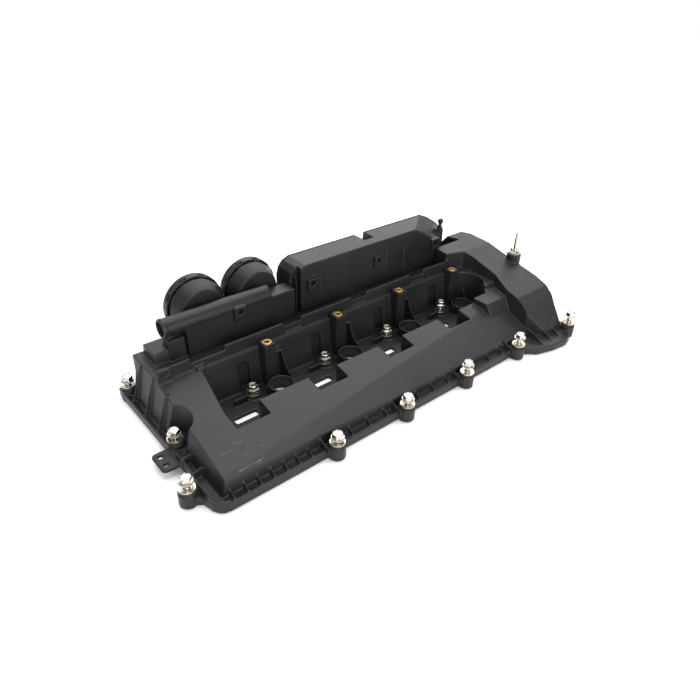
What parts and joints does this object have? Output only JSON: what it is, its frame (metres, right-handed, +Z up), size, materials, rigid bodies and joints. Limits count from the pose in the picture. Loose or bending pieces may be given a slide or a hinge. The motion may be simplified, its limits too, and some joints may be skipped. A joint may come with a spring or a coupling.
{
  "type": "engine cam cover",
  "caption": "Moulded cam cover for one bank of a V engine, with oil separator, breather pipe, pressure valves and captive bolts.",
  "frame": {"origin": "middle of the plug-well row, on the sealing plane", "axes": "+X along the bank to the timing end, +Y towards the oil separator, +Z up, away from the cylinder head"},
  "size_m": [0.5535, 0.2549, 0.1193],
  "materials": {
    "shell_plastic": "satin, fine grain",
    "fitting_plastic": "satin",
    "black_rubber": "matte",
    "bolt_steel": "bright plated",
    "sleeve_steel": "plated",
    "spring_steel": "drawn wire",
    "insert_brass": "turned"
  },
  "bodies": {
    "cover": {"cover_shell": "shell_plastic", "separator_housing": "fitting_plastic", "separator_back_plate": "fitting_plastic", "breather_duct": "fitting_plastic", "pcv_housing_1": "fitting_plastic", "pcv_housing_2": "fitting_plastic", "pcv_cap_1": "fitting_plastic", "pcv_cap_2": "fitting_plastic", "pcv_spring_1": "spring_steel", "pcv_spring_2": "spring_steel", "thread_inserts": "insert_brass", "perimeter_gasket": "black_rubber", "well_seals": "black_rubber", "window_seals": "black_rubber", "edge_sleeves": "sleeve_steel", "centre_sleeves": "sleeve_steel", "edge_isolators": "black_rubber", "centre_isolators": "black_rubber", "baffle_plate": "shell_plastic", "ball_stud": "fitting_plastic", "stud_sleeve": "sleeve_steel"},
    "bolt_front_1": {"bolt_front_1": "bolt_steel"},
    "bolt_front_2": {"bolt_front_2": "bolt_steel"},
    "bolt_front_3": {"bolt_front_3": "bolt_steel"},
    "bolt_front_4": {"bolt_front_4": "bolt_steel"},
    "bolt_corner": {"bolt_corner": "bolt_steel"},
    "bolt_left": {"bolt_left": "bolt_steel"},
    "bolt_left_rear": {"bolt_left_rear": "bolt_steel"},
    "bolt_timing": {"bolt_timing": "bolt_steel"},
    "bolt_centre_1": {"bolt_centre_1": "bolt_steel"},
    "bolt_centre_2": {"bolt_centre_2": "bolt_steel"},
    "bolt_centre_3": {"bolt_centre_3": "bolt_steel"},
    "bolt_centre_4": {"bolt_centre_4": "bolt_steel"},
    "bolt_rear_1": {"bolt_rear_1": "bolt_steel"},
    "bolt_rear_2": {"bolt_rear_2": "bolt_steel"},
    "bolt_rear_3": {"bolt_rear_3": "bolt_steel"},
    "stud_bolt": {"stud_bolt": "bolt_steel"},
    "diaphragm_1": {"pcv_diaphragm_1": "black_rubber"},
    "diaphragm_2": {"pcv_diaphragm_2": "black_rubber"}
  },
  "joints": [
    {"name": "bolt_front_1_slide", "type": "slide", "parent": "cover", "child": "bolt_front_1", "axis": [0, 0, 1], "range_m": [-0.0041, 0.005]},
    {"name": "bolt_front_2_slide", "type": "slide", "parent": "cover", "child": "bolt_front_2", "axis": [0, 0, 1], "range_m": [-0.0051, 0.005]},
    {"name": "bolt_front_3_slide", "type": "slide", "parent": "cover", "child": "bolt_front_3", "axis": [0, 0, 1], "range_m": [-0.0074, 0.005]},
    {"name": "bolt_front_4_slide", "type": "slide", "parent": "cover", "child": "bolt_front_4", "axis": [0, 0, 1], "range_m": [-0.0079, 0.005]},
    {"name": "bolt_corner_slide", "type": "slide", "parent": "cover", "child": "bolt_corner", "axis": [0, 0, 1], "range_m": [-0.0069, 0.005]},
    {"name": "bolt_left_slide", "type": "slide", "parent": "cover", "child": "bolt_left", "axis": [0, 0, 1], "range_m": [-0.0041, 0.005]},
    {"name": "bolt_left_rear_slide", "type": "slide", "parent": "cover", "child": "bolt_left_rear", "axis": [0, 0, 1], "range_m": [-0.0041, 0.005]},
    {"name": "bolt_timing_slide", "type": "slide", "parent": "cover", "child": "bolt_timing", "axis": [0, 0, 1], "range_m": [-0.0084, 0.005]},
    {"name": "bolt_centre_1_slide", "type": "slide", "parent": "cover", "child": "bolt_centre_1", "axis": [0, 0, 1], "range_m": [-0.0041, 0.005]},
    {"name": "bolt_centre_2_slide", "type": "slide", "parent": "cover", "child": "bolt_centre_2", "axis": [0, 0, 1], "range_m": [-0.0041, 0.005]},
    {"name": "bolt_centre_3_slide", "type": "slide", "parent": "cover", "child": "bolt_centre_3", "axis": [0, 0, 1], "range_m": [-0.0045, 0.005]},
    {"name": "bolt_centre_4_slide", "type": "slide", "parent": "cover", "child": "bolt_centre_4", "axis": [0, 0, 1], "range_m": [-0.0079, 0.005]},
    {"name": "bolt_rear_1_slide", "type": "slide", "parent": "cover", "child": "bolt_rear_1", "axis": [0, 0, 1], "range_m": [-0.0044, 0.005]},
    {"name": "bolt_rear_2_slide", "type": "slide", "parent": "cover", "child": "bolt_rear_2", "axis": [0, 0, 1], "range_m": [-0.0044, 0.005]},
    {"name": "bolt_rear_3_slide", "type": "slide", "parent": "cover", "child": "bolt_rear_3", "axis": [0, 0, 1], "range_m": [-0.0044, 0.005]},
    {"name": "stud_bolt_slide", "type": "slide", "parent": "cover", "child": "stud_bolt", "axis": [0, 0, 1], "range_m": [-0.0003, 0.003]},
    {"name": "diaphragm_1_stroke", "type": "slide", "parent": "cover", "child": "diaphragm_1", "axis": [0, -1, 0], "range_m": [0, 0.003], "stiffness_N_per_m": 300, "springref_m": -0.004},
    {"name": "diaphragm_2_stroke", "type": "slide", "parent": "cover", "child": "diaphragm_2", "axis": [0, -1, 0], "range_m": [0, 0.003], "stiffness_N_per_m": 300, "springref_m": -0.004}
  ]
}
